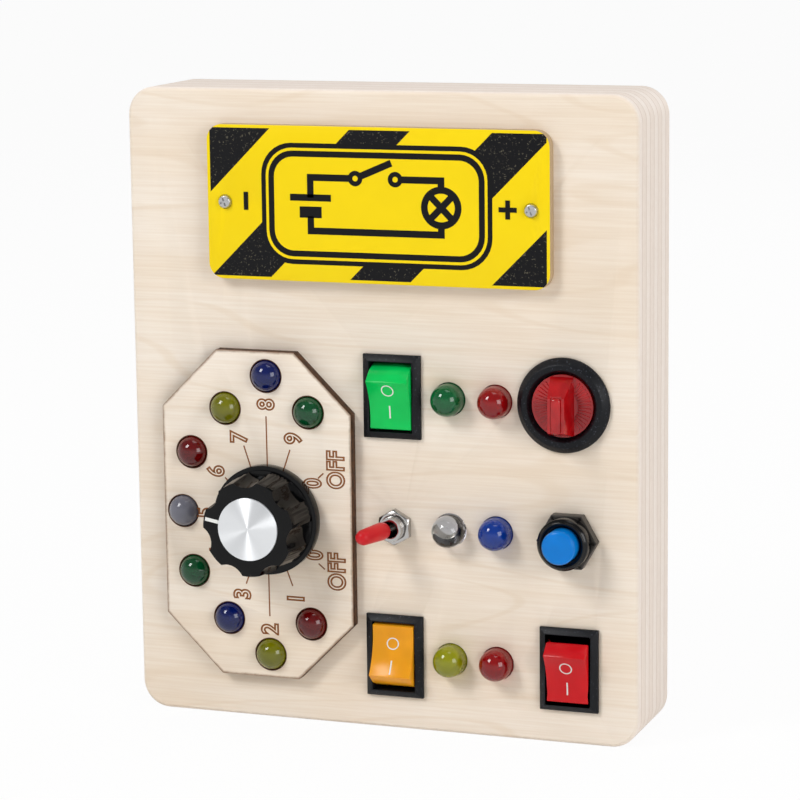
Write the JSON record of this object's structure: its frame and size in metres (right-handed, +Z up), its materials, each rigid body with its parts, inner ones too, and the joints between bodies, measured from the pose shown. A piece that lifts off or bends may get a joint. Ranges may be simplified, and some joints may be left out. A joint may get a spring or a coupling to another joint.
{
  "type": "wooden busy board",
  "caption": "Hollow plywood busy board for children, with a hazard striped sign, rocker, toggle, push and rotary switches, indicator lamps and a fluted selector dial",
  "frame": {"origin": "centre of the bottom edge that the board stands on", "axes": "+X to the right seen from the front, +Y towards the back, +Z up; the front faces -Y"},
  "size_m": [0.133, 0.0455, 0.1604],
  "materials": {
    "plywood": "pale birch plywood, sanded",
    "sign_print": "printed yellow and black",
    "screw_steel": "zinc plated",
    "lamp_green": "tinted clear resin",
    "lamp_red": "tinted clear resin",
    "lamp_blue": "tinted clear resin",
    "lamp_olive": "tinted clear resin",
    "lamp_clear": "clear resin",
    "tinned_leads": "tinned",
    "black_nylon": "moulded, fine grain",
    "black_gloss": "moulded, polished",
    "rocker_green": "translucent, polished",
    "rocker_orange": "translucent, polished",
    "rocker_red": "translucent, polished",
    "plating": "nickel plated",
    "sleeve_red": "soft vinyl",
    "cap_blue": "moulded, polished",
    "spring_steel": "drawn wire",
    "knob_red": "translucent, polished",
    "aluminium": "spun",
    "white_line": "filled line",
    "grey_plastic": "moulded",
    "cell_label": "plain printed jacket"
  },
  "bodies": {
    "board": {"wooden_body": "plywood", "back_cover": "plywood", "dial_plate": "plywood", "sign_plate": "sign_print", "cover_screws": "screw_steel", "sign_screws": "screw_steel", "dial_led_4": "lamp_green", "dial_led_9": "lamp_green", "green_led": "lamp_green", "dial_led_1": "lamp_red", "dial_led_6": "lamp_red", "red_led": "lamp_red", "lower_red_led": "lamp_red", "dial_led_3": "lamp_blue", "dial_led_8": "lamp_blue", "blue_led": "lamp_blue", "dial_led_2": "lamp_olive", "dial_led_7": "lamp_olive", "yellow_led": "lamp_olive", "dial_led_5": "lamp_clear", "clear_led": "lamp_clear", "led_leads": "tinned_leads", "rocker_terminals": "tinned_leads", "toggle_terminals": "tinned_leads", "button_terminals": "tinned_leads", "rotary_terminals": "tinned_leads", "selector_terminals": "tinned_leads", "green_rocker_housing": "black_nylon", "orange_rocker_housing": "black_nylon", "red_rocker_housing": "black_nylon", "rotary_housing": "black_nylon", "selector_switch": "black_nylon", "toggle_body": "black_nylon", "button_housing": "black_gloss", "button_nuts": "black_gloss", "toggle_bushing": "plating", "toggle_nut": "plating", "selector_nut": "plating", "button_spring": "spring_steel", "battery_contacts": "spring_steel", "battery_tray": "grey_plastic", "upper_cell": "cell_label", "lower_cell": "cell_label"},
    "selector_dial": {"selector_knob": "black_gloss", "selector_cap": "aluminium", "selector_pointer": "white_line", "selector_set_screw": "screw_steel", "selector_shaft": "aluminium"},
    "green_switch": {"green_rocker": "rocker_green"},
    "orange_switch": {"orange_rocker": "rocker_orange"},
    "red_switch": {"red_rocker": "rocker_red"},
    "toggle": {"toggle_lever": "plating", "toggle_sleeve": "sleeve_red"},
    "rotary": {"rotary_knob": "knob_red"},
    "button": {"button_cap": "cap_blue"},
    "door": {"battery_door": "grey_plastic", "battery_door_screws": "screw_steel"}
  },
  "joints": [
    {"name": "selector_turn", "type": "hinge", "parent": "board", "child": "selector_dial", "pos_m": [-0.0289, -0.014, 0.0528], "axis": [0, 1, 0], "range_deg": [-150, 150]},
    {"name": "green_rock", "type": "hinge", "parent": "board", "child": "green_switch", "pos_m": [0.0035, -0.0109, 0.085], "axis": [1, 0, 0], "range_deg": [-29.6, 0]},
    {"name": "orange_rock", "type": "hinge", "parent": "board", "child": "orange_switch", "pos_m": [0.0035, -0.0109, 0.019], "axis": [1, 0, 0], "range_deg": [0, 29.6]},
    {"name": "red_rock", "type": "hinge", "parent": "board", "child": "red_switch", "pos_m": [0.049, -0.0109, 0.019], "axis": [1, 0, 0], "range_deg": [-29.6, 0]},
    {"name": "toggle_flip", "type": "hinge", "parent": "board", "child": "toggle", "pos_m": [0.0039, -0.014, 0.0521], "axis": [0, 0, 1], "range_deg": [0, 26]},
    {"name": "rotary_turn", "type": "hinge", "parent": "board", "child": "rotary", "pos_m": [0.0477, -0.014, 0.085], "axis": [0, 1, 0], "range_deg": [0, 90]},
    {"name": "button_press", "type": "slide", "parent": "board", "child": "button", "axis": [0, 1, 0], "range_m": [0, 0.0025], "stiffness_N_per_m": 500, "springref_m": -0.0005, "deforming": ["button_spring"]},
    {"name": "door_lift", "type": "slide", "parent": "board", "child": "door", "axis": [0, 1, 0], "range_m": [0, 0.03]}
  ]
}
